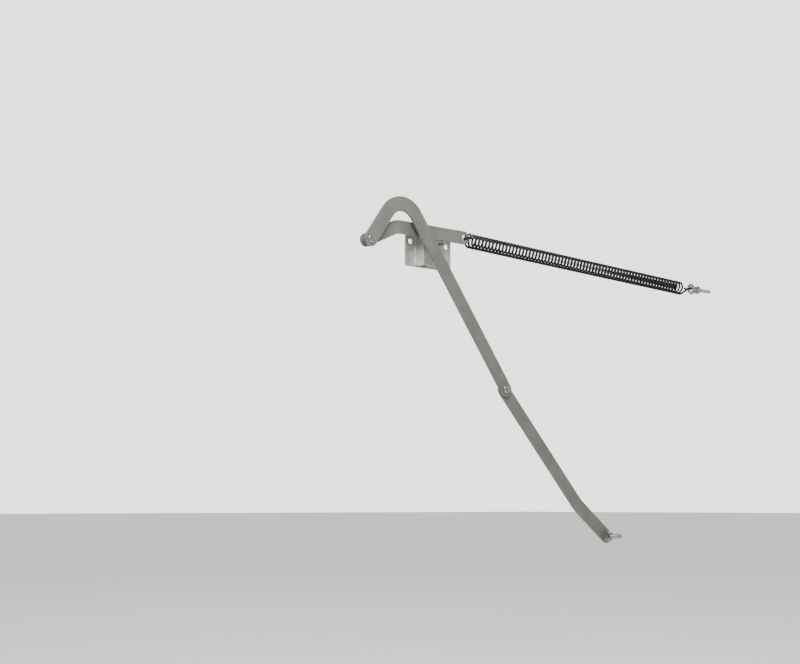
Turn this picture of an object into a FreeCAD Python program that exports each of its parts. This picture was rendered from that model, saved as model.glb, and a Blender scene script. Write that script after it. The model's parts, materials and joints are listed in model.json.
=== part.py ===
import FreeCAD, Part
import math
import os

import Sketcher

# A folding hatch stay with a return spring. A bracket on the side rail of a hatch frame carries a
# cranked lever. A long tension spring pulls the lever's short end down onto a stop pin. Two flat arms
# hang from the lever's long end, joined by a riveted knee, and the lower one is bolted to the stile of
# the hatch or ladder.
#
# Frame of the part, in millimetres: the origin is midway between the bracket's two screw holes on its
# mounting face. +X runs along the rail towards the hatch hinge, +Z is up and +Y points into the rail,
# so that everything on the room side of the mounting face has a negative Y. "Layer" names the distance
# of a face from the mounting face.

document = FreeCAD.newDocument("hatch_stay")

# Driving dimensions.

SIZES = {
    # Bracket: base plate, folded channel and stop pin.
    "plate_width": 90,
    "plate_height": 60,
    "plate_drop": 38,
    "plate_gauge": 3,
    "plate_corner": 4,
    "screw_spacing": 72,
    "screw_hole": 8.5,
    "channel_width": 16,
    "channel_height": 50,
    "channel_drop": 36,
    "channel_depth": 13,
    "channel_gauge": 2.5,
    "channel_foot": 7,
    "stop_offset": 14,
    "stop_diameter": 6.5,
    "stop_tail": 5,
    "stop_collar": 9,
    "stop_collar_height": 2,
    # Pivot of the lever on the bracket.
    "pivot_offset": -12,
    "pivot_shoulder": 8,
    "pivot_thread": 6,
    "pivot_spacer_diameter": 15,
    "pivot_spacer_length": 4.45,
    "pivot_bush_diameter": 11,
    "pivot_head_height": 2.2,
    "pivot_nut_flats": 10,
    "pivot_nut_height": 5,
    "pivot_thread_end": 1.5,
    # Lever, from the elbow at its long end to the spring hole at its short end.
    "lever_width": 20,
    "lever_gauge": 3.5,
    "lever_bend": 30,
    "lever_lug": 22,
    "crank_reach": 57,
    "crank_rise": 27.5,
    "pivot_reach": 125,
    "pivot_rise": 14,
    "hole_reach": 192,
    "spring_hole": 9.5,
    # Arms.
    "arm_width": 22,
    "arm_gauge": 3.5,
    "arm_gap": 1.15,
    "hook_reach": 58.7,
    "hook_rise": 83.5,
    "hook_bend": 33,
    "knee_reach": 268,
    "knee_fall": 203,
    "foot_reach": 162.5,
    "foot_fall": 176.7,
    "foot_bend": 55,
    "stile_reach": 230.4,
    "stile_fall": 227.9,
    # Rivets, bushes and the stile bolt.
    "rivet_shank": 8,
    "rivet_head": 13,
    "rivet_back": 12,
    "rivet_head_height": 2.4,
    "rivet_back_height": 1.8,
    "dome_share": 0.75,
    "elbow_spacer_diameter": 14,
    "knee_washer_diameter": 18,
    "knee_washer_gauge": 1,
    "stile_shoulder": 10,
    "stile_bush_diameter": 13,
    "stile_head": 14,
    "stile_thread": 8,
    "stile_stud": 29,
    "relief_length": 1,
    "relief_depth": 0.6,
    "stile_washer_diameter": 20,
    "stile_washer_gauge": 1.6,
    "stile_nut_flats": 13,
    "stile_nut_height": 6.5,
    # Spring and its eye bolt in the end board.
    "coil_diameter": 24,
    "spring_wire": 3.5,
    "coil_layer": 12.5,
    "loop_radius": 6.25,
    "loop_tail": 2,
    "loop_tail_diameter": 3,
    "loop_overlap": 0.5,
    "loop_slack": 2.3,
    "eye_offset": 609,
    "eye_drop": 9,
    "eye_bore": 9,
    "eye_wire": 5.5,
    "eye_thread": 6,
    "eye_nut_reach": 12,
    "eye_nut_flats": 10,
    "eye_nut_height": 5,
    "eye_washer_diameter": 14,
    "eye_washer_gauge": 1.5,
    "eye_stud": 35,
    # Clearances.
    "running_gap": 0.3,
    "bore_gap": 0.05,
    "thread_gap": 0.2,
    "lower_layer": 27,
}

sheet = document.addObject("Spreadsheet::Sheet", "Sizes")
for row, (alias, value) in enumerate(SIZES.items(), start=1):
    sheet.set("A%d" % row, alias)
    sheet.set("B%d" % row, str(value))
    sheet.setAlias("B%d" % row, alias)
document.recompute()

# Places that several pieces share, as expressions on the sheet.
PIVOT_X = "Sizes.pivot_offset"
ELBOW_X = "(Sizes.pivot_offset - Sizes.pivot_reach)"
ELBOW_Z = "(-Sizes.pivot_rise)"
KNEE_X = "(%s + Sizes.knee_reach)" % ELBOW_X
KNEE_Z = "(%s - Sizes.knee_fall)" % ELBOW_Z
STILE_X = "(%s + Sizes.stile_reach)" % KNEE_X
STILE_Z = "(%s - Sizes.stile_fall)" % KNEE_Z
HOLE_X = "(%s + Sizes.hole_reach)" % ELBOW_X
HOLE_Z = "(%s + Sizes.crank_rise)" % ELBOW_Z
# Layers, counted from the mounting face towards the room.
WEB_LAYER = "(Sizes.plate_gauge + Sizes.channel_depth)"
SPACER_LAYER = "(%s + Sizes.pivot_spacer_length)" % WEB_LAYER
LEVER_LAYER = "(%s + Sizes.running_gap)" % SPACER_LAYER
LEVER_FRONT = "(%s + Sizes.lever_gauge)" % LEVER_LAYER
LOWER_LAYER = "Sizes.lower_layer"
LOWER_FRONT = "(Sizes.lower_layer + Sizes.arm_gauge)"
UPPER_LAYER = "(%s + Sizes.arm_gap)" % LOWER_FRONT
UPPER_FRONT = "(%s + Sizes.arm_gauge)" % UPPER_LAYER
HOOK_LAYER = "(%s + Sizes.lever_gauge / 2)" % LEVER_LAYER


# Helpers.


def place(piece, x="0", layer="0", z="0"):
    """Binds a piece's Placement: X along the rail, the layer on the room side and Z up."""
    piece.setExpression("Placement.Base.x", x)
    piece.setExpression("Placement.Base.y", "-(%s)" % layer)
    piece.setExpression("Placement.Base.z", z)


def new_body(label, x="0", layer="0", z="0"):
    """A PartDesign body that is one sub-part, with its own origin at the given place."""
    body = document.addObject("PartDesign::Body", label)
    body.Label = label
    place(body, x, layer, z)
    return body


def origin_feature(body, role):
    """A plane or an axis of the body's own origin."""
    return [feature for feature in body.Origin.OriginFeatures if feature.Role == role][0]


def new_sketch(body, name, role="XZ_Plane"):
    """A sketch on an origin plane. On XZ_Plane it draws along X and Z, and pads towards the room."""
    sketch = body.newObject("Sketcher::SketchObject", body.Label + "_" + name)
    sketch.AttachmentSupport = [(origin_feature(body, role), "")]
    sketch.MapMode = "FlatFace"
    return sketch


def bind(sketch, constraint, expression):
    """Adds a dimension to a sketch and ties it to the sheet."""
    sketch.setExpression("Constraints[%d]" % sketch.addConstraint(constraint), expression)


def fix_point(sketch, geometry, end, across, up):
    """Ties one point of a sketch to two expressions measured from the sketch's origin."""
    point = sketch.getPoint(geometry, end)
    bind(sketch, Sketcher.Constraint("DistanceX", -1, 1, geometry, end, point.x), across)
    bind(sketch, Sketcher.Constraint("DistanceY", -1, 1, geometry, end, point.y), up)


def polygon(sketch, corners):
    """A closed outline of straight lines through corners, each a pair of expressions."""
    count = len(corners)
    turns = [2 * math.pi * number / count for number in range(count)]
    rough = [FreeCAD.Vector(10 * math.cos(turn), 10 * math.sin(turn), 0) for turn in turns]
    for number in range(count):
        sketch.addGeometry(Part.LineSegment(rough[number], rough[(number + 1) % count]), False)
    for number in range(count):
        sketch.addConstraint(Sketcher.Constraint("Coincident", number, 2, (number + 1) % count, 1))
    for number, (across, up) in enumerate(corners):
        fix_point(sketch, number, 1, across, up)


def circle(sketch, across, up, diameter):
    """A circle with its centre and diameter tied to expressions."""
    upright = FreeCAD.Vector(0, 0, 1)
    number = sketch.addGeometry(Part.Circle(FreeCAD.Vector(1, 1, 0), upright, 5), False)
    fix_point(sketch, number, 3, across, up)
    bind(sketch, Sketcher.Constraint("Diameter", number, 10), diameter)


def pad(body, sketch, length):
    """Thickens a sketch to one side of its plane."""
    feature = body.newObject("PartDesign::Pad", sketch.Label + "_pad")
    feature.Profile = sketch
    feature.setExpression("Length", length)
    return feature


def pierce(body, name, holes):
    """Cuts round holes through everything on the room side of XZ_Plane. Each is across, up, diameter."""
    sketch = new_sketch(body, name)
    for across, up, diameter in holes:
        circle(sketch, across, up, diameter)
    feature = body.newObject("PartDesign::Pocket", sketch.Label + "_cut")
    feature.Profile = sketch
    feature.Type = "ThroughAll"
    feature.Reversed = True
    return feature


def turned(label, profile, x, z, rounding=()):
    """A turned piece on an axis along Y. The profile is pairs of radius and layer. rounding, if given,
    is the side of the widest rim to round, "room" or "rail", and the fillet's radius."""
    body = new_body(label, x, "0", z)
    sketch = new_sketch(body, "profile", "XY_Plane")
    polygon(sketch, [(radius, "-(%s)" % layer) for radius, layer in profile])
    feature = body.newObject("PartDesign::Revolution", label + "_turning")
    feature.Profile = sketch
    feature.ReferenceAxis = (origin_feature(body, "Y_Axis"), [""])
    feature.Angle = 360
    document.recompute()
    if rounding:
        round_rim(body, feature, *rounding)
    return body


def round_rim(body, feature, layer_side, radius):
    """Rounds the widest rim of a turned piece on its room side or its rail side."""
    circles = []
    for number, edge in enumerate(feature.Shape.Edges, start=1):
        if isinstance(edge.Curve, Part.Circle):
            circles.append((edge.Curve.Radius, edge.Curve.Center.y, "Edge%d" % number))
    widest = max(circles)[0]
    rims = [entry for entry in circles if abs(entry[0] - widest) < 0.001]
    rim = min(rims, key=lambda entry: entry[1] if layer_side == "room" else -entry[1])
    fillet = body.newObject("PartDesign::Fillet", body.Label + "_rim")
    fillet.Base = (feature, [rim[2]])
    fillet.setExpression("Radius", radius)
    return fillet


def ring(label, inner, outer, back, front, x, z):
    """A washer, bush or spacer between two layers, given by two diameters."""
    profile = [
        ("(%s) / 2" % inner, back),
        ("(%s) / 2" % outer, back),
        ("(%s) / 2" % outer, front),
        ("(%s) / 2" % inner, front),
    ]
    return turned(label, profile, x, z)


def hexagon_nut(label, flats, bore, height, role, **where):
    """A hexagon nut, its corners up and down, with a plain bore of the given diameter."""
    body = new_body(label, **where)
    sketch = new_sketch(body, "outline", role)
    corners = []
    for number in range(6):
        turn = 60 * number + 30
        corners.append(tuple("%s / sqrt(3) * %s(%d)" % (flats, wave, turn) for wave in ("cos", "sin")))
    polygon(sketch, corners)
    circle(sketch, "0", "0", bore)
    pad(body, sketch, height)
    return body


def bar_outline(sketch, corner, end, bend, width):
    """The outline of a flat bar of one width, with round ends, that starts at the sketch's origin, turns
    once near a corner on a round bend and stops at an end. corner and end are pairs of (sign, alias),
    bend and width aliases."""
    start = FreeCAD.Vector(0, 0, 0)
    knee, tip = [FreeCAD.Vector(*[sign * SIZES[alias] for sign, alias in pair]) for pair in (corner, end)]
    middle, half = SIZES[bend], SIZES[width] / 2
    first = (knee - start).normalize()
    second = (tip - knee).normalize()
    upright = FreeCAD.Vector(0, 0, 1)
    left_first = upright.cross(first)
    left_second = upright.cross(second)
    side = 1 if first.cross(second).z > 0 else -1
    reach = middle * math.tan(first.getAngle(second) / 2)
    bend_start = knee - first * reach
    bend_end = knee + second * reach
    centre = bend_start + left_first * (side * middle)

    def arc(around, radius, begin, finish):
        """The arc round a centre that runs anticlockwise from one direction to another."""
        angles = [math.atan2(direction.y, direction.x) for direction in (begin, finish)]
        return Part.ArcOfCircle(Part.Circle(around, upright, radius), *angles)

    def line(begin, finish):
        return Part.LineSegment(begin, finish)

    left, right = 1, -1
    bends = {}
    for edge in (left, right):
        radius = middle - side * edge * half
        directions = (left_first * -side, left_second * -side)
        bends[edge] = arc(centre, radius, *(directions if side > 0 else reversed(directions)))
    outline = [
        line(start + left_first * half, bend_start + left_first * half),
        bends[left],
        line(bend_end + left_second * half, tip + left_second * half),
        arc(tip, half, -left_second, left_second),
        line(tip - left_second * half, bend_end - left_second * half),
        bends[right],
        line(bend_start - left_first * half, start - left_first * half),
        arc(start, half, left_first, -left_first),
    ]
    sketch.addGeometry(outline, False)
    sketch.addGeometry([line(start, knee), line(knee, tip)], True)
    # Each joint is named by the ends that meet. An arc that turns right is drawn from its far end.
    near, far = (1, 2) if side > 0 else (2, 1)
    joints = [
        (0, 2, 1, near),
        (1, far, 2, 1),
        (2, 2, 3, 2),
        (3, 1, 4, 1),
        (4, 2, 5, far),
        (5, near, 6, 1),
        (6, 2, 7, 2),
        (7, 1, 0, 1),
    ]
    for joint in joints:
        sketch.addConstraint(Sketcher.Constraint("Tangent", *joint))
    sketch.addConstraint(Sketcher.Constraint("Coincident", 7, 3, -1, 1))
    sketch.addConstraint(Sketcher.Constraint("Coincident", 8, 1, -1, 1))
    sketch.addConstraint(Sketcher.Constraint("Coincident", 8, 2, 9, 1))
    sketch.addConstraint(Sketcher.Constraint("Coincident", 9, 2, 3, 3))
    sketch.addConstraint(Sketcher.Constraint("Coincident", 1, 3, 5, 3))
    sketch.addConstraint(Sketcher.Constraint("Parallel", 0, 8))
    sketch.addConstraint(Sketcher.Constraint("Parallel", 2, 9))
    half_width = "Sizes.%s / 2" % width
    bind(sketch, Sketcher.Constraint("Radius", 3, half), half_width)
    bind(sketch, Sketcher.Constraint("Radius", 7, half), half_width)
    for number, edge in ((1, left), (5, right)):
        radius = middle - side * edge * half
        sign = "-" if side * edge > 0 else "+"
        expression = "Sizes.%s %s %s" % (bend, sign, half_width)
        bind(sketch, Sketcher.Constraint("Radius", number, radius), expression)
    for geometry, point, pair in ((8, 2, corner), (9, 2, end)):
        signed = ["%d * Sizes.%s" % entry for entry in pair]
        fix_point(sketch, geometry, point, *signed)


def primitive(kind, name, **sizes):
    """A Part primitive with its sizes tied to the sheet."""
    solid = document.addObject("Part::" + kind, name)
    for size, expression in sizes.items():
        solid.setExpression(size, expression)
    return solid


def turn_solid(solid, axis, degrees):
    """Turns a primitive about an axis through its own origin."""
    solid.Placement = FreeCAD.Placement(FreeCAD.Vector(), FreeCAD.Rotation(FreeCAD.Vector(*axis), degrees))


# Bracket: base plate, welded channel, pivot and stop pin.

base_plate = new_body("base_plate")
outline = new_sketch(base_plate, "outline")
plate_side = "Sizes.plate_width / 2"
plate_top = "Sizes.plate_height - Sizes.plate_drop"
plate_bottom = "-Sizes.plate_drop"
polygon(
    outline,
    [
        ("-" + plate_side, plate_bottom),
        (plate_side, plate_bottom),
        (plate_side, plate_top),
        ("-" + plate_side, plate_top),
    ],
)
plate_pad = pad(base_plate, outline, "Sizes.plate_gauge")
document.recompute()
corners = base_plate.newObject("PartDesign::Fillet", "base_plate_corners")
upright_edges = [
    "Edge%d" % number
    for number, edge in enumerate(plate_pad.Shape.Edges, start=1)
    if abs(edge.tangentAt(edge.FirstParameter).y) > 0.99
]
corners.Base = (plate_pad, upright_edges)
corners.setExpression("Radius", "Sizes.plate_corner")
pierce(
    base_plate,
    "holes",
    [
        ("-Sizes.screw_spacing / 2", "0", "Sizes.screw_hole"),
        ("Sizes.screw_spacing / 2", "0", "Sizes.screw_hole"),
        ("Sizes.stop_offset", "0", "Sizes.stop_tail"),
    ],
)

pivot_channel = new_body("pivot_channel", PIVOT_X, "Sizes.plate_gauge", "-Sizes.channel_drop")
section = new_sketch(pivot_channel, "section", "XY_Plane")
wall = "Sizes.channel_width / 2"
inside = "(Sizes.channel_width / 2 - Sizes.channel_gauge)"
foot = "(Sizes.channel_width / 2 + Sizes.channel_foot)"
polygon(
    section,
    [
        (foot, "0"),
        (foot, "-Sizes.channel_gauge"),
        (wall, "-Sizes.channel_gauge"),
        (wall, "-Sizes.channel_depth"),
        ("-" + wall, "-Sizes.channel_depth"),
        ("-" + wall, "-Sizes.channel_gauge"),
        ("-" + foot, "-Sizes.channel_gauge"),
        ("-" + foot, "0"),
        ("-" + inside, "0"),
        ("-" + inside, "-Sizes.channel_depth + Sizes.channel_gauge"),
        (inside, "-Sizes.channel_depth + Sizes.channel_gauge"),
        (inside, "0"),
    ],
)
pad(pivot_channel, section, "Sizes.channel_height")
pierce(
    pivot_channel,
    "pivot_hole",
    [("0", "Sizes.channel_drop", "Sizes.pivot_thread + 2 * Sizes.thread_gap")],
)

pivot_head_back = "(%s + Sizes.running_gap)" % LEVER_FRONT
web_back = "(%s - Sizes.channel_gauge)" % WEB_LAYER
pivot_tip = "(%s - Sizes.pivot_nut_height - Sizes.pivot_thread_end)" % web_back
turned(
    "pivot_bolt",
    [
        ("0", pivot_tip),
        ("Sizes.pivot_thread / 2", pivot_tip),
        ("Sizes.pivot_thread / 2", WEB_LAYER),
        ("Sizes.pivot_shoulder / 2", WEB_LAYER),
        ("Sizes.pivot_shoulder / 2", pivot_head_back),
        ("Sizes.rivet_head / 2", pivot_head_back),
        ("Sizes.rivet_head / 2", pivot_head_back + " + Sizes.pivot_head_height"),
        ("0", pivot_head_back + " + Sizes.pivot_head_height"),
    ],
    PIVOT_X,
    "0",
    ("room", "Sizes.pivot_head_height * Sizes.dome_share"),
)
pivot_bore = "Sizes.pivot_shoulder + 2 * Sizes.bore_gap"
ring("pivot_spacer", pivot_bore, "Sizes.pivot_spacer_diameter", WEB_LAYER, SPACER_LAYER, PIVOT_X, "0")
hexagon_nut(
    "pivot_nut",
    "Sizes.pivot_nut_flats",
    "Sizes.pivot_thread + 2 * Sizes.bore_gap",
    "Sizes.pivot_nut_height",
    "XZ_Plane",
    x=PIVOT_X,
    layer=web_back + " - Sizes.pivot_nut_height",
)
turned(
    "stop_pin",
    [
        ("0", "0"),
        ("Sizes.stop_tail / 2", "0"),
        ("Sizes.stop_tail / 2", "Sizes.plate_gauge"),
        ("Sizes.stop_collar / 2", "Sizes.plate_gauge"),
        ("Sizes.stop_collar / 2", "Sizes.plate_gauge + Sizes.stop_collar_height"),
        ("Sizes.stop_diameter / 2", "Sizes.plate_gauge + Sizes.stop_collar_height"),
        ("Sizes.stop_diameter / 2", LEVER_FRONT),
        ("0", LEVER_FRONT),
    ],
    "Sizes.stop_offset",
    "0",
)

# Lever: cranked flat bar with a lug round its pivot.

power_lever = new_body("power_lever", ELBOW_X, LEVER_LAYER, ELBOW_Z)
outline = new_sketch(power_lever, "outline")
bar_outline(
    outline,
    ((1, "crank_reach"), (1, "crank_rise")),
    ((1, "hole_reach"), (1, "crank_rise")),
    "lever_bend",
    "lever_width",
)
pad(power_lever, outline, "Sizes.lever_gauge")
lug = new_sketch(power_lever, "lug")
circle(lug, "Sizes.pivot_reach", "Sizes.pivot_rise", "Sizes.lever_lug")
pad(power_lever, lug, "Sizes.lever_gauge")
pierce(
    power_lever,
    "holes",
    [
        ("0", "0", "Sizes.rivet_shank"),
        ("Sizes.pivot_reach", "Sizes.pivot_rise", "Sizes.pivot_bush_diameter"),
        ("Sizes.hole_reach", "Sizes.crank_rise", "Sizes.spring_hole"),
    ],
)
ring("pivot_bush", pivot_bore, "Sizes.pivot_bush_diameter", LEVER_LAYER, LEVER_FRONT, PIVOT_X, "0")
spacer_front = "(%s - Sizes.running_gap)" % UPPER_LAYER
ring(
    "elbow_spacer",
    "Sizes.rivet_shank",
    "Sizes.elbow_spacer_diameter",
    LEVER_FRONT,
    spacer_front,
    ELBOW_X,
    ELBOW_Z,
)


def rivet(label, back, front, x, z):
    """A domed rivet. back and front are the layers that its two heads bear on."""
    return turned(
        label,
        [
            ("0", back + " - Sizes.rivet_back_height"),
            ("Sizes.rivet_back / 2", back + " - Sizes.rivet_back_height"),
            ("Sizes.rivet_back / 2", back),
            ("Sizes.rivet_shank / 2", back),
            ("Sizes.rivet_shank / 2", front),
            ("Sizes.rivet_head / 2", front),
            ("Sizes.rivet_head / 2", front + " + Sizes.rivet_head_height"),
            ("0", front + " + Sizes.rivet_head_height"),
        ],
        x,
        z,
        ("room", "Sizes.rivet_head_height * Sizes.dome_share"),
    )


rivet("elbow_rivet", LEVER_LAYER, "(%s + Sizes.running_gap)" % UPPER_FRONT, ELBOW_X, ELBOW_Z)

# Upper arm: hooked flat bar, with the knee rivet.

running_bore = "Sizes.rivet_shank + 2 * Sizes.bore_gap"
hook_arm = new_body("hook_arm", ELBOW_X, UPPER_LAYER, ELBOW_Z)
outline = new_sketch(hook_arm, "outline")
bar_outline(
    outline,
    ((1, "hook_reach"), (1, "hook_rise")),
    ((1, "knee_reach"), (-1, "knee_fall")),
    "hook_bend",
    "arm_width",
)
pad(hook_arm, outline, "Sizes.arm_gauge")
pierce(
    hook_arm,
    "holes",
    [("0", "0", running_bore), ("Sizes.knee_reach", "-Sizes.knee_fall", "Sizes.rivet_shank")],
)
rivet("knee_rivet", "(%s - Sizes.running_gap)" % LOWER_LAYER, UPPER_FRONT, KNEE_X, KNEE_Z)
washer_back = "(%s - Sizes.knee_washer_gauge)" % UPPER_LAYER
ring(
    "knee_washer",
    "Sizes.rivet_shank",
    "Sizes.knee_washer_diameter",
    washer_back,
    UPPER_LAYER,
    KNEE_X,
    KNEE_Z,
)

# Lower arm: flat bar with a bend near its foot, and its bush.

lower_arm = new_body("lower_arm", KNEE_X, LOWER_LAYER, KNEE_Z)
outline = new_sketch(lower_arm, "outline")
bar_outline(
    outline,
    ((1, "foot_reach"), (-1, "foot_fall")),
    ((1, "stile_reach"), (-1, "stile_fall")),
    "foot_bend",
    "arm_width",
)
pad(lower_arm, outline, "Sizes.arm_gauge")
pierce(
    lower_arm,
    "holes",
    [("0", "0", running_bore), ("Sizes.stile_reach", "-Sizes.stile_fall", "Sizes.stile_bush_diameter")],
)
stile_bore = "Sizes.stile_shoulder + 2 * Sizes.bore_gap"
ring("stile_bush", stile_bore, "Sizes.stile_bush_diameter", LOWER_LAYER, LOWER_FRONT, STILE_X, STILE_Z)

# Stile pivot: shoulder bolt that the stile is clamped on.

stile_head_front = "(%s - Sizes.running_gap)" % LOWER_LAYER
stile_head_back = "(%s - Sizes.rivet_back_height)" % stile_head_front
shoulder_front = "(%s + Sizes.running_gap)" % LOWER_FRONT
stile_washer_front = "(%s + Sizes.stile_washer_gauge)" % shoulder_front
stile_nut_front = "(%s + Sizes.stile_nut_height)" % stile_washer_front
# A relief groove parts the clamped thread from the free stud.
relief_front = "(%s + Sizes.relief_length)" % stile_nut_front
turned(
    "stile_bolt",
    [
        ("0", stile_head_back),
        ("Sizes.stile_head / 2", stile_head_back),
        ("Sizes.stile_head / 2", stile_head_front),
        ("Sizes.stile_shoulder / 2", stile_head_front),
        ("Sizes.stile_shoulder / 2", shoulder_front),
        ("Sizes.stile_thread / 2", shoulder_front),
        ("Sizes.stile_thread / 2", stile_nut_front),
        ("Sizes.stile_thread / 2 - Sizes.relief_depth", stile_nut_front),
        ("Sizes.stile_thread / 2 - Sizes.relief_depth", relief_front),
        ("Sizes.stile_thread / 2", relief_front),
        ("Sizes.stile_thread / 2", shoulder_front + " + Sizes.stile_stud"),
        ("0", shoulder_front + " + Sizes.stile_stud"),
    ],
    STILE_X,
    STILE_Z,
    ("rail", "Sizes.rivet_back_height * Sizes.dome_share"),
)
thread_bore = "Sizes.stile_thread + 2 * Sizes.bore_gap"
washer_bore = "Sizes.stile_thread + 2 * Sizes.thread_gap"
ring(
    "stile_washer",
    washer_bore,
    "Sizes.stile_washer_diameter",
    shoulder_front,
    stile_washer_front,
    STILE_X,
    STILE_Z,
)
hexagon_nut(
    "stile_nut",
    "Sizes.stile_nut_flats",
    thread_bore,
    "Sizes.stile_nut_height",
    "XZ_Plane",
    x=STILE_X,
    layer=stile_washer_front,
    z=STILE_Z,
)

# Spring: coil and two end loops on the line from the eye bolt to the lever.

# The wire of the lever's loop bears towards the eye bolt, and the wire of the other loop towards the lever.
eye_wire_x = "(Sizes.eye_offset - Sizes.loop_slack)"
lever_wire_x = "(%s + Sizes.loop_slack)" % HOLE_X
spring_run = "(%s - %s)" % (eye_wire_x, lever_wire_x)
spring_climb = "(%s + Sizes.eye_drop)" % HOLE_Z
spring_length = "sqrt(%s ^ 2 + %s ^ 2)" % (spring_run, spring_climb)
loop_length = "(2 * Sizes.loop_radius + Sizes.loop_tail)"


def lay_on_spring(piece, layer):
    """Puts a piece at the eye bolt's end of the spring, its own -X pointing along the spring to the lever."""
    piece.Placement = FreeCAD.Placement(FreeCAD.Vector(), FreeCAD.Rotation(FreeCAD.Vector(0, 1, 0), 1))
    place(piece, eye_wire_x, layer, "-Sizes.eye_drop")
    piece.setExpression("Placement.Rotation.Angle", "atan(%s / %s)" % (spring_climb, spring_run))


def wire_loop(label, contact, facing):
    """A closed wire loop whose inside bears at a distance along the spring, with a tail to the coil."""
    loop = primitive("Torus", label + "_ring", Radius1="Sizes.loop_radius", Radius2="Sizes.spring_wire / 2")
    turn_solid(loop, (0, 0, 1), 90)
    loop.setExpression("Placement.Base.x", "-(%s) + %d * Sizes.loop_radius" % (contact, facing))
    tail = primitive("Cylinder", label + "_tail", Radius="Sizes.loop_tail_diameter / 2")
    turn_solid(tail, (0, 1, 0), 90 * facing)
    start = "(2 * Sizes.loop_radius - Sizes.loop_overlap)"
    tail.setExpression("Height", "Sizes.loop_tail + Sizes.loop_overlap")
    tail.setExpression("Placement.Base.x", "-(%s) + %d * %s" % (contact, facing, start))
    whole = document.addObject("Part::Fuse", label)
    whole.Base = loop
    whole.Tool = tail
    whole.Label = label
    lay_on_spring(whole, HOOK_LAYER)
    return whole


wire_loop("spring_loop_eye", "0", -1)
wire_loop("spring_loop_lever", spring_length, 1)

coil_outer = primitive("Cylinder", "coil_outer", Radius="Sizes.coil_diameter / 2")
coil_inner = primitive("Cylinder", "coil_inner", Radius="Sizes.coil_diameter / 2 - Sizes.spring_wire")
for cylinder in (coil_outer, coil_inner):
    turn_solid(cylinder, (0, 1, 0), -90)
    cylinder.setExpression("Height", "%s - 2 * %s" % (spring_length, loop_length))
    cylinder.setExpression("Placement.Base.x", "-" + loop_length)
spring_coil = document.addObject("Part::Cut", "spring_coil")
spring_coil.Base = coil_outer
spring_coil.Tool = coil_inner
spring_coil.Label = "spring_coil"
lay_on_spring(spring_coil, "Sizes.coil_layer")

# Eye bolt through the end board.

eye_ring = primitive(
    "Torus", "eye_ring", Radius1="Sizes.eye_bore / 2 + Sizes.eye_wire / 2", Radius2="Sizes.eye_wire / 2"
)
turn_solid(eye_ring, (1, 0, 0), 90)
shank_start = "(Sizes.eye_bore / 2 + Sizes.eye_wire / 2)"
nut_start = "Sizes.eye_nut_reach"
washer_start = "(%s + Sizes.eye_nut_height)" % nut_start
board_start = "(%s + Sizes.eye_washer_gauge)" % washer_start
free_start = "(%s + Sizes.relief_length)" % board_start
shank_end = "(%s + Sizes.eye_stud)" % board_start
thread_radius = "Sizes.eye_thread / 2"
relief_radius = thread_radius + " - Sizes.relief_depth"
shank_parts = []
for name, radius, begin, finish in (
    ("eye_shank", thread_radius, shank_start, board_start),
    ("eye_relief", relief_radius, washer_start, free_start + " + Sizes.relief_length"),
    ("eye_stud", thread_radius, free_start, shank_end),
):
    length = primitive("Cylinder", name, Radius=radius, Height="%s - %s" % (finish, begin))
    turn_solid(length, (0, 1, 0), 90)
    length.setExpression("Placement.Base.x", begin)
    shank_parts.append(length)
anchor_eye_bolt = document.addObject("Part::MultiFuse", "anchor_eye_bolt")
anchor_eye_bolt.Shapes = [eye_ring, *shank_parts]
anchor_eye_bolt.Label = "anchor_eye_bolt"
place(anchor_eye_bolt, "Sizes.eye_offset", HOOK_LAYER, "-Sizes.eye_drop")
hexagon_nut(
    "anchor_nut",
    "Sizes.eye_nut_flats",
    "Sizes.eye_thread + 2 * Sizes.bore_gap",
    "Sizes.eye_nut_height",
    "YZ_Plane",
    x="Sizes.eye_offset + " + nut_start,
    layer=HOOK_LAYER,
    z="-Sizes.eye_drop",
)
washer_x = "Sizes.eye_offset + " + washer_start
anchor_washer = new_body("anchor_washer", washer_x, HOOK_LAYER, "-Sizes.eye_drop")
outline = new_sketch(anchor_washer, "outline", "YZ_Plane")
circle(outline, "0", "0", "Sizes.eye_washer_diameter")
circle(outline, "0", "0", "Sizes.eye_thread + 2 * Sizes.thread_gap")
pad(anchor_washer, outline, "Sizes.eye_washer_gauge")

# Check and write.

document.recompute()
failed = [thing.Label for thing in document.Objects if {"Invalid", "Error"} & set(thing.State)]
if failed:
    raise RuntimeError("these objects failed: %s" % failed)

NODES = [
    "base_plate",
    "pivot_channel",
    "pivot_bolt",
    "pivot_spacer",
    "pivot_nut",
    "stop_pin",
    "anchor_eye_bolt",
    "anchor_nut",
    "anchor_washer",
    "power_lever",
    "pivot_bush",
    "elbow_rivet",
    "elbow_spacer",
    "hook_arm",
    "knee_rivet",
    "knee_washer",
    "lower_arm",
    "stile_bush",
    "stile_bolt",
    "stile_washer",
    "stile_nut",
    "spring_coil",
    "spring_loop_eye",
    "spring_loop_lever",
]
os.makedirs("parts", exist_ok=True)
for label in NODES:
    shape = document.getObjectsByLabel(label)[0].Shape
    if shape.isNull() or not shape.isValid() or not shape.Solids:
        raise RuntimeError("%s has no valid solid" % label)
    shape.exportStep(os.path.join("parts", label + ".step"))
    print("%-18s %10.1f mm3" % (label, shape.Volume))
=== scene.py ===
import json
import math

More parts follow.
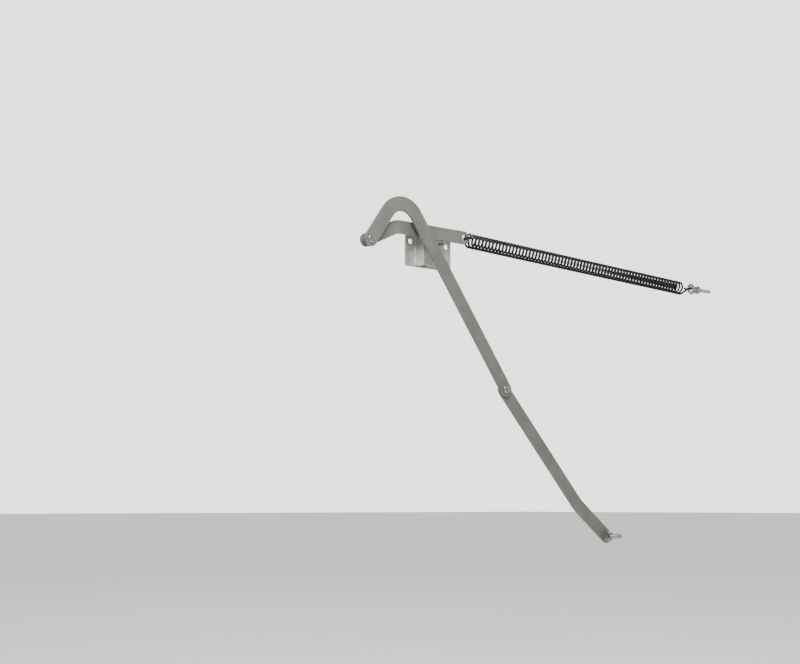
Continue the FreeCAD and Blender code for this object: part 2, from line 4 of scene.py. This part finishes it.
import bpy
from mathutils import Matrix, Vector


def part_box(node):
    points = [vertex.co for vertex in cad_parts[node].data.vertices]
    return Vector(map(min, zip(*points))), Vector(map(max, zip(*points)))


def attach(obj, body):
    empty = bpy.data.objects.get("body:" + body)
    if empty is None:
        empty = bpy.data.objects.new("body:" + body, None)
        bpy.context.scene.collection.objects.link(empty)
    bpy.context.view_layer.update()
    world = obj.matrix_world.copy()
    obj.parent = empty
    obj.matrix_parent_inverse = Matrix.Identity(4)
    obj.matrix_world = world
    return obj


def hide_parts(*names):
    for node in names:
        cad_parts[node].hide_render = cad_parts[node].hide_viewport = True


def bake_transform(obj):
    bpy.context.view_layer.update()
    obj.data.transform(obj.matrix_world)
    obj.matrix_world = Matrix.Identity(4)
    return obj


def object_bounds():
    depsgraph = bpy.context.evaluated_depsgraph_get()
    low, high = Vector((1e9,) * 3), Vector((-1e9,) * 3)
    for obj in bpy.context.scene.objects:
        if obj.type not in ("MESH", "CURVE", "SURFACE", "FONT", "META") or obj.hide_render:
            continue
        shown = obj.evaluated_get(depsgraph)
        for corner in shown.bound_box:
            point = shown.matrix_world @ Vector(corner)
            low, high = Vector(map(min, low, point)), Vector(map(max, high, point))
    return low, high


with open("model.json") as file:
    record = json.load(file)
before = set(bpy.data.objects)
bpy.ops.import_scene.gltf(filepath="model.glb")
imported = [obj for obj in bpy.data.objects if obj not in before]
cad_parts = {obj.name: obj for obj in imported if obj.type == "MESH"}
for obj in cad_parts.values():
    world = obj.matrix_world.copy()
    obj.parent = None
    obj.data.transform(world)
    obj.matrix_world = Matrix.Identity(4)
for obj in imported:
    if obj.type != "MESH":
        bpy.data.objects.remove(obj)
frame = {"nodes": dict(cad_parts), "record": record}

cad_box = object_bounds()


# Base plate and pivot channel. A pressed steel plate is screwed to the side rail, with a folded channel
# spot-welded to its face to carry the lever's pivot. Both are zinc plated and left bright.

MM = 0.001


def linear(code):
    """The linear colour of an sRGB hex value."""
    parts = [int(code[place : place + 2], 16) / 255 for place in (1, 3, 5)]
    curve = [part / 12.92 if part <= 0.04045 else ((part + 0.055) / 1.055) ** 2.4 for part in parts]
    return (*curve, 1.0)


def add_node(tree, kind, settings=(), **links):
    """Adds a node. settings maps a socket or property name to a value, and links maps a socket name to an
    output."""
    node = tree.nodes.new(kind)
    for name, value in dict(settings).items():
        if name in node.inputs:
            node.inputs[name].default_value = value
        else:
            setattr(node, name, value)
    for name, output in links.items():
        tree.links.new(output, node.inputs[name.replace("_", " ")])
    return node


def empty_material(name):
    """A material with an empty node tree, and that tree."""
    material = bpy.data.materials.new(name)
    material.use_nodes = True
    material.node_tree.nodes.clear()
    return material, material.node_tree


def patchy_finish(name, shades, patch, shader_settings, detail=2.0, gloss=None, grain=None):
    """A finish whose colour and gloss drift in soft patches of a width in millimetres. gloss is its lowest
    and highest roughness, and grain is the width, strength and depth of a fine relief."""
    blend_of_octaves = 0.55
    shade_edges = (0.35, 0.65)
    lowest_noise, highest_noise = 0.3, 0.7
    material, tree = empty_material(name)
    place = add_node(tree, "ShaderNodeTexCoord")
    settings = {"Scale": 1 / (patch * MM), "Detail": detail, "Roughness": blend_of_octaves}
    patches = add_node(tree, "ShaderNodeTexNoise", settings, Vector=place.outputs["Object"])
    tones = add_node(tree, "ShaderNodeValToRGB", Fac=patches.outputs["Fac"])
    for stop, edge, shade in zip(tones.color_ramp.elements, shade_edges, shades):
        stop.position = edge
        stop.color = linear(shade)
    links = {"Base_Color": tones.outputs["Color"]}
    if gloss:
        settings = {"From Min": lowest_noise, "From Max": highest_noise}
        settings.update({"To Min": gloss[0], "To Max": gloss[1]})
        sheen = add_node(tree, "ShaderNodeMapRange", settings, Value=patches.outputs["Fac"])
        links["Roughness"] = sheen.outputs["Result"]
    if grain:
        width, strength, depth = grain
        settings = {"Scale": 1 / (width * MM), "Detail": 2.0, "Roughness": blend_of_octaves}
        bumps = add_node(tree, "ShaderNodeTexNoise", settings, Vector=place.outputs["Object"])
        settings = {"Strength": strength, "Distance": depth * MM}
        relief = add_node(tree, "ShaderNodeBump", settings, Height=bumps.outputs["Fac"])
        links["Normal"] = relief.outputs["Normal"]
    shader = add_node(tree, "ShaderNodeBsdfPrincipled", shader_settings, **links)
    add_node(tree, "ShaderNodeOutputMaterial", Surface=shader.outputs["BSDF"])
    return material


# Zinc-plated sheet: the rolled grain and thin plating give soft, slightly patchy reflections.
zinc_plated_sheet = patchy_finish(
    "zinc_plated_sheet",
    shades=("#b6bab2", "#ced1ca"),
    patch=9,
    detail=3.0,
    gloss=(0.34, 0.46),
    grain=(0.7, 0.12, 0.02),
    shader_settings={"Metallic": 0.6},
)


def dress(node, material, edge):
    """Gives a CAD piece its finish, and breaks its sharp edges by the given width in millimetres."""
    sharpest_left = math.radians(50)
    piece = frame["nodes"][node]
    piece.data.materials.clear()
    piece.data.materials.append(material)
    if edge:
        broken_edge = piece.modifiers.new("broken_edge", "BEVEL")
        broken_edge.width = edge * MM
        broken_edge.segments = 2
        broken_edge.limit_method = "ANGLE"
        broken_edge.angle_limit = sharpest_left
        broken_edge.harden_normals = True
    return piece


dress("base_plate", zinc_plated_sheet, edge=0.35)
dress("pivot_channel", zinc_plated_sheet, edge=0.3)


# Pivot bolt, spacer, nut and stop pin. Small turned and headed steel pieces, bright zinc plated. The bolt
# clamps the spacer to the channel, and the pin is riveted in the plate to stop the lever.

# Bright zinc: a thin smooth plating over turned steel, with a cool, sharper gloss than the sheet.
bright_zinc = patchy_finish(
    "bright_zinc",
    shades=("#979a98", "#adb0ae"),
    patch=4,
    gloss=(0.30, 0.42),
    shader_settings={"Metallic": 1.0},
)

for fitting in ("pivot_bolt", "pivot_spacer", "pivot_nut", "stop_pin"):
    dress(fitting, bright_zinc, edge=0.2)


# Lever. A flat steel bar, cranked near its long end, with a lug for the pivot and a hole for the spring. It
# is blanked from strip and coated in a satin silver-grey epoxy.

# Silver-grey epoxy: baked powder, satin, with a faint orange peel and a slightly green tone.
silver_grey_epoxy = patchy_finish(
    "silver_grey_epoxy",
    shades=("#686b64", "#74776f"),
    patch=40,
    detail=3.0,
    gloss=(0.40, 0.48),
    grain=(1.2, 0.15, 0.03),
    shader_settings={"Metallic": 0.25, "IOR": 1.5},
)

dress("power_lever", silver_grey_epoxy, edge=0.4)


# Bushes and thrust washer. Moulded natural nylon rings that line the lever's pivot and the stile hole, and
# keep the two arms apart at the knee.

# Natural nylon: moulded, milky and waxy, so light sinks a little way in.
natural_nylon = patchy_finish(
    "natural_nylon",
    shades=("#cfccbf", "#dad7cb"),
    patch=3,
    shader_settings={
        "Roughness": 0.42,
        "IOR": 1.53,
        "Subsurface Weight": 0.15,
        "Subsurface Scale": 1.0 * MM,
    },
)

for lining in ("pivot_bush", "knee_washer", "stile_bush"):
    dress(lining, natural_nylon, edge=0.15)


# Elbow and knee rivets and the elbow's spacer. Solid steel rivets with a domed head on the room side and a
# flatter set head behind, bright zinc plated. The spacer keeps the hooked arm off the lever.

for fitting in ("elbow_rivet", "elbow_spacer", "knee_rivet"):
    dress(fitting, bright_zinc, edge=0.2)


# Upper and lower arms. Flat steel strip, blanked and coated like the lever: the upper one is hooked over
# the lever's pivot, and the lower one is bent near the foot, where it meets the ladder's stile.

for bar in ("hook_arm", "lower_arm"):
    dress(bar, silver_grey_epoxy, edge=0.4)


# Stile bolt, washer and nut. A flat-headed shoulder bolt turns in the lower arm's bush. The washer and nut
# clamp it, and the rest of the stud goes through the stile.

for fitting in ("stile_washer", "stile_nut"):
    dress(fitting, bright_zinc, edge=0.25)


def skin_of_rings(name, rings, material):
    """A closed solid skin over rings of points, each joined to the next, with flat ends."""
    sides = len(rings[0])
    vertices = [tuple(point) for ring in rings for point in ring]
    faces = []
    for number in range(len(rings) - 1):
        near, far = number * sides, (number + 1) * sides
        for side in range(sides):
            following = (side + 1) % sides
            faces.append((near + side, near + following, far + following, far + side))
    faces.append(tuple(reversed(range(sides))))
    faces.append(tuple(range(len(vertices) - sides, len(vertices))))
    mesh = bpy.data.meshes.new(name)
    mesh.from_pydata(vertices, [], faces)
    mesh.update()
    mesh.shade_smooth()
    mesh.materials.append(material)
    piece = bpy.data.objects.new(name, mesh)
    bpy.context.scene.collection.objects.link(piece)
    return piece


def threaded_shaft(name, start, heading, outline, pitch, flank, sides=28):
    """A turned shaft with a helical thread. The outline is (distance, radius, threaded) in millimetres."""
    rings_per_turn = 8
    sharp_edge = math.radians(32)
    across = heading.orthogonal().normalized()
    other = heading.cross(across)
    rings = []
    for (begin, wide, threaded), (end, next_wide, _) in zip(outline, outline[1:]):
        count = max(1, math.ceil((end - begin) / (pitch / rings_per_turn))) if threaded else 1
        for number in range(count + 1):
            share = number / count
            distance = begin + (end - begin) * share
            radius = wide + (next_wide - wide) * share
            ring = []
            for side in range(sides):
                turn = 2 * math.pi * side / sides
                phase = (distance / pitch - side / sides) % 1
                cut = flank * abs(2 * phase - 1) if threaded else 0
                spoke = across * math.cos(turn) + other * math.sin(turn)
                ring.append(start + heading * (distance * MM) + spoke * ((radius - cut) * MM))
            rings.append(ring)
    piece = skin_of_rings(name, rings, bright_zinc)
    piece.data.set_sharp_from_angle(angle=sharp_edge)
    return piece


room = Vector((0, -1, 0))
bolt_low, bolt_high = [Vector(corner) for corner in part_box("stile_bolt")]
bolt_back = Vector(((bolt_low.x + bolt_high.x) / 2, bolt_high.y, (bolt_low.z + bolt_high.z) / 2))
HEAD, HEAD_ROUND, SHOULDER, M8_THREAD, M8_RELIEF = 7, 1.35, 5, 4, 3.4
M8_PITCH, M8_FLANK = 1.25, 0.7
HEAD_FRONT, SHOULDER_FRONT, NUT_FRONT, RELIEF_FRONT = 1.8, 5.9, 14, 15
CHAMFER_START, BOLT_END = 34.1, 34.9
# Head with a rounded back, shoulder, clamped thread, relief groove and free thread with a chamfered end.
bolt_outline = [
    (0, HEAD - HEAD_ROUND, False),
    (0.18, HEAD - 0.7, False),
    (0.6, HEAD - 0.2, False),
    (HEAD_ROUND, HEAD, False),
    (HEAD_FRONT, HEAD, False),
    (HEAD_FRONT, SHOULDER, False),
    (SHOULDER_FRONT, SHOULDER, False),
    (SHOULDER_FRONT, M8_THREAD, True),
    (NUT_FRONT, M8_THREAD, True),
    (NUT_FRONT, M8_RELIEF, False),
    (RELIEF_FRONT, M8_RELIEF, False),
    (RELIEF_FRONT, M8_THREAD, True),
    (CHAMFER_START, M8_THREAD, True),
    (BOLT_END, M8_RELIEF, False),
]
stile_bolt = threaded_shaft(
    "stile_shoulder_bolt", bolt_back, room, bolt_outline, M8_PITCH, M8_FLANK
)
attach(stile_bolt, "stile_fixing")
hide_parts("stile_bolt")


# Spring. Hard-drawn steel wire wound into a long tension spring and enamelled black. Its turns open up
# a little towards the eye bolt, and each end is drawn out into a hook at the room side of the coil.

# Black enamel: stoved on drawn wire, near black, with narrow bright glints along each turn.
black_enamel = patchy_finish(
    "black_enamel",
    shades=("#0a0a09", "#111110"),
    patch=5,
    gloss=(0.38, 0.50),
    shader_settings={"IOR": 1.42, "Specular IOR Level": 0.35},
)

joints = {joint["name"]: joint for joint in frame["record"]["behaviour"]["joints"]}
eye_wire = Vector(joints["spring_swing"]["pos_m"])
along = Vector(joints["spring_stretch"]["axis"]).normalized()
upward = Vector((along.z, 0, -along.x))
coil_low, coil_high = [Vector(corner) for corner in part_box("spring_coil")]
hook_low, hook_high = [Vector(corner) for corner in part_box("spring_loop_lever")]

WIRE = 1.75 * MM
coil_layer = (coil_low.y + coil_high.y) / 2
coil_radius = (coil_high.y - coil_low.y) / 2
wound = coil_radius - WIRE
axis_start = Vector((eye_wire.x, coil_layer, eye_wire.z))
hook_radius = (hook_high.y - hook_low.y) / 2 - WIRE
slope = abs(along.z)
coil_begin = (eye_wire.x - coil_high.x + coil_radius * slope) / abs(along.x) + WIRE
coil_finish = (eye_wire.x - coil_low.x - coil_radius * slope) / abs(along.x) - WIRE
hook_depth = coil_layer - eye_wire.y
lever_hook = (eye_wire.x - hook_low.x - hook_radius - WIRE) / abs(along.x)


def on_spring(distance, height, depth):
    """A point at a distance from the eye bolt, a height over the coil's axis and a depth to the room."""
    return axis_start + along * distance + upward * height + room * depth


def wire_piece(name, path, radius, material, sides=10):
    """A round wire of one radius along a path, with closed ends."""
    rings = []
    side = None
    for number, point in enumerate(path):
        before, after = path[max(number - 1, 0)], path[min(number + 1, len(path) - 1)]
        heading = (after - before).normalized()
        if side is None:
            side = heading.orthogonal().normalized()
        side = (side - heading * side.dot(heading)).normalized()
        other = heading.cross(side)
        turns = [2 * math.pi * corner / sides for corner in range(sides)]
        rings.append(
            [point + (side * math.cos(turn) + other * math.sin(turn)) * radius for turn in turns]
        )
    return skin_of_rings(name, rings, material)


def wind_coil():
    """The coil's path from the lever's end to the eye bolt's."""
    start_angle, stop_angle = math.radians(52), math.radians(-58)
    pitch_at_lever, pitch_at_eye = 7.35 * MM, 7.85 * MM
    length = coil_finish - coil_begin
    whole_turns = round(2 * length / (pitch_at_lever + pitch_at_eye))
    turns = whole_turns + (stop_angle - start_angle) / (2 * math.pi)
    steps_per_turn = 28
    steps = whole_turns * steps_per_turn
    widening = (pitch_at_eye - pitch_at_lever) / (pitch_at_eye + pitch_at_lever)
    path = []
    for number in range(steps + 1):
        share = number / steps
        angle = start_angle + 2 * math.pi * turns * share
        distance = coil_finish - length * share * (1 + widening * (share - 1))
        path.append(on_spring(distance, wound * math.sin(angle), wound * math.cos(angle)))
    return path


def bridge(first, leaving, second, arriving, steps=14):
    """A smooth wire path between two points, tangent to two directions."""
    reach = (second - first).length
    path = []
    for number in range(steps + 1):
        share = number / steps
        square, cube = share * share, share**3
        path.append(
            first * (2 * cube - 3 * square + 1)
            + leaving * reach * (cube - 2 * square + share)
            + second * (3 * square - 2 * cube)
            + arriving * reach * (cube - square)
        )
    return path


def hook_arc(centre, first, last, steps=26):
    """The round part of a hook, flat across the spring, between two angles from the lever's direction."""
    path = []
    for number in range(steps + 1):
        turn = math.radians(first + (last - first) * number / steps)
        depth = hook_depth + hook_radius * math.sin(turn)
        path.append(on_spring(centre + hook_radius * math.cos(turn), 0, depth))
    return path


coil_path = wind_coil()
into_coil = (coil_path[1] - coil_path[0]).normalized()
out_of_coil = (coil_path[-1] - coil_path[-2]).normalized()

TIP_BEHIND_LEVER, TIP_BEHIND_EYE, DRAWN_OUT = -135, 315, 90
lever_arc = hook_arc(lever_hook, TIP_BEHIND_LEVER, DRAWN_OUT)
leaving = (lever_arc[-1] - lever_arc[-2]).normalized()
lever_path = lever_arc[:-1] + bridge(lever_arc[-1], leaving, coil_path[0], into_coil)
lever_hook_wire = wire_piece("spring_hook_at_lever", lever_path, WIRE, black_enamel)
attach(lever_hook_wire, "spring_free_end")
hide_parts("spring_loop_lever")

eye_arc = hook_arc(hook_radius, DRAWN_OUT, TIP_BEHIND_EYE)
entering = (eye_arc[1] - eye_arc[0]).normalized()
eye_path = bridge(coil_path[-1], out_of_coil, eye_arc[0], entering)[:-1] + eye_arc
eye_hook_wire = wire_piece("spring_hook_at_eye", eye_path, WIRE, black_enamel)
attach(eye_hook_wire, "spring_fixed_end")
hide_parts("spring_loop_eye")

coil_wire = wire_piece("spring_coil_wire", coil_path, WIRE, black_enamel)
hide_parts("spring_coil")
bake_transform(coil_wire)


# Eye bolt, nut and washer. A forged eye on a threaded stud, zinc plated, that goes through the end board of
# the frame. The nut and washer stand on the spring's side of the board.

for fitting in ("anchor_nut", "anchor_washer"):
    dress(fitting, bright_zinc, edge=0.2)

EYE_RADIUS, EYE_WIRE, EYE_STEPS = 7.25, 2.75, 56
eye_low, eye_high = [Vector(corner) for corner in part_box("anchor_eye_bolt")]
eye_reach = (EYE_RADIUS + EYE_WIRE) * MM
eye_middle = Vector(
    (eye_low.x + eye_reach, (eye_low.y + eye_high.y) / 2, (eye_low.z + eye_high.z) / 2)
)
NECK, M6_THREAD, M6_RELIEF = 2.65, 3, 2.4
M6_PITCH, M6_FLANK = 1.0, 0.55
NECK_END, THREAD_START, BOARD, FREE_THREAD, STUD_END = 10.6, 11.2, 18.5, 19.5, 53.5
CHAMFER_LENGTH, CHAMFER_DEPTH = 0.6, 0.5
# Plain neck, clamped thread, relief groove and free thread with a chamfered end.
stud_outline = [
    (EYE_RADIUS, EYE_WIRE, False),
    (NECK_END, NECK, False),
    (THREAD_START, M6_THREAD, True),
    (BOARD, M6_THREAD, True),
    (BOARD, M6_RELIEF, False),
    (FREE_THREAD, M6_RELIEF, False),
    (FREE_THREAD, M6_THREAD, True),
    (STUD_END - CHAMFER_LENGTH, M6_THREAD, True),
    (STUD_END, M6_THREAD - CHAMFER_DEPTH, False),
]
stud = threaded_shaft(
    "anchor_eye_bolt_stud", eye_middle, Vector((1, 0, 0)), stud_outline, M6_PITCH, M6_FLANK
)
ring_path = []
for number in range(EYE_STEPS + 1):
    turn = 2 * math.pi * number / EYE_STEPS
    spoke = Vector((math.cos(turn), 0, math.sin(turn)))
    ring_path.append(eye_middle + spoke * (EYE_RADIUS * MM))
eye_ring = wire_piece("anchor_eye_bolt_eye", ring_path, EYE_WIRE * MM, bright_zinc, sides=18)
for piece in (stud, eye_ring):
    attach(piece, "bracket")
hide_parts("anchor_eye_bolt")
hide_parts("anchor_eye_bolt")


# Studio. A plain pale floor, far enough below for the arms to swing clear of it, soft light from the room
# side, from above and from behind, and a camera low on the room side that looks up at the stay.

floor_gap, floor_width, floor_middle = 0.2, 80, 0.3
floor_paint, tree = empty_material("pale_matt_floor")
shader = add_node(
    tree,
    "ShaderNodeBsdfPrincipled",
    {"Base Color": linear("#eeeeec"), "Roughness": 0.9},
)
add_node(tree, "ShaderNodeOutputMaterial", Surface=shader.outputs["BSDF"])
bpy.ops.mesh.primitive_plane_add(
    size=floor_width, location=(floor_middle, 0, cad_box[0].z - floor_gap)
)
floor = bpy.context.object
floor.name = "floor"
floor.data.materials.append(floor_paint)

world = bpy.data.worlds.new("soft_room")
bpy.context.scene.world = world
world.use_nodes = True
tree = world.node_tree
tree.nodes.clear()
# The far wall is brightly lit and the near side of the room is dim, so that flat faces keep their tone.
heading = add_node(tree, "ShaderNodeTexCoord")
far_wall = add_node(
    tree,
    "ShaderNodeVectorMath",
    {"operation": "DOT_PRODUCT"},
    Vector=heading.outputs["Generated"],
)
far_wall.inputs[1].default_value = (0.64, 0.77, 0.0)
near_light, far_light = 0.4, 2.6
settings = {"From Min": 0.0, "From Max": 0.8, "To Min": near_light, "To Max": far_light}
glow = add_node(tree, "ShaderNodeMapRange", settings, Value=far_wall.outputs["Value"])
room_light = add_node(
    tree,
    "ShaderNodeBackground",
    {"Color": linear("#fbfbfa")},
    Strength=glow.outputs["Result"],
)
add_node(tree, "ShaderNodeOutputWorld", Surface=room_light.outputs[0])

middle = (Vector(cad_box[0]) + Vector(cad_box[1])) / 2


def soft_lamp(name, place, power, width):
    """A square soft lamp that faces the middle of the stay."""
    lamp = bpy.data.lights.new(name, "AREA")
    lamp.energy = power
    lamp.size = width
    holder = bpy.data.objects.new(name, lamp)
    holder.location = place
    holder.rotation_euler = (middle - Vector(place)).to_track_quat("-Z", "Y").to_euler()
    bpy.context.scene.collection.objects.link(holder)


soft_lamp("key_lamp", (-0.55, -0.72, 0.5), power=17, width=0.5)
soft_lamp("fill_lamp", (1.9, -1.4, 0.8), power=3, width=1.6)
soft_lamp("back_lamp", (0.6, 1.6, 1.3), power=6, width=1.2)

viewpoint = Vector((-1.3279, -1.5268, -0.3950))
bearing, climb = math.radians(50.16), math.radians(7.33)
gaze = Vector(
    (
        math.cos(climb) * math.cos(bearing),
        math.cos(climb) * math.sin(bearing),
        math.sin(climb),
    )
)
camera = bpy.data.objects.new("camera", bpy.data.cameras.new("camera"))
camera.data.sensor_width = 36
camera.data.lens = 60.7
camera.data.clip_end = 100
camera.location = viewpoint
camera.rotation_euler = gaze.to_track_quat("-Z", "Y").to_euler()
bpy.context.scene.collection.objects.link(camera)
bpy.context.scene.camera = camera
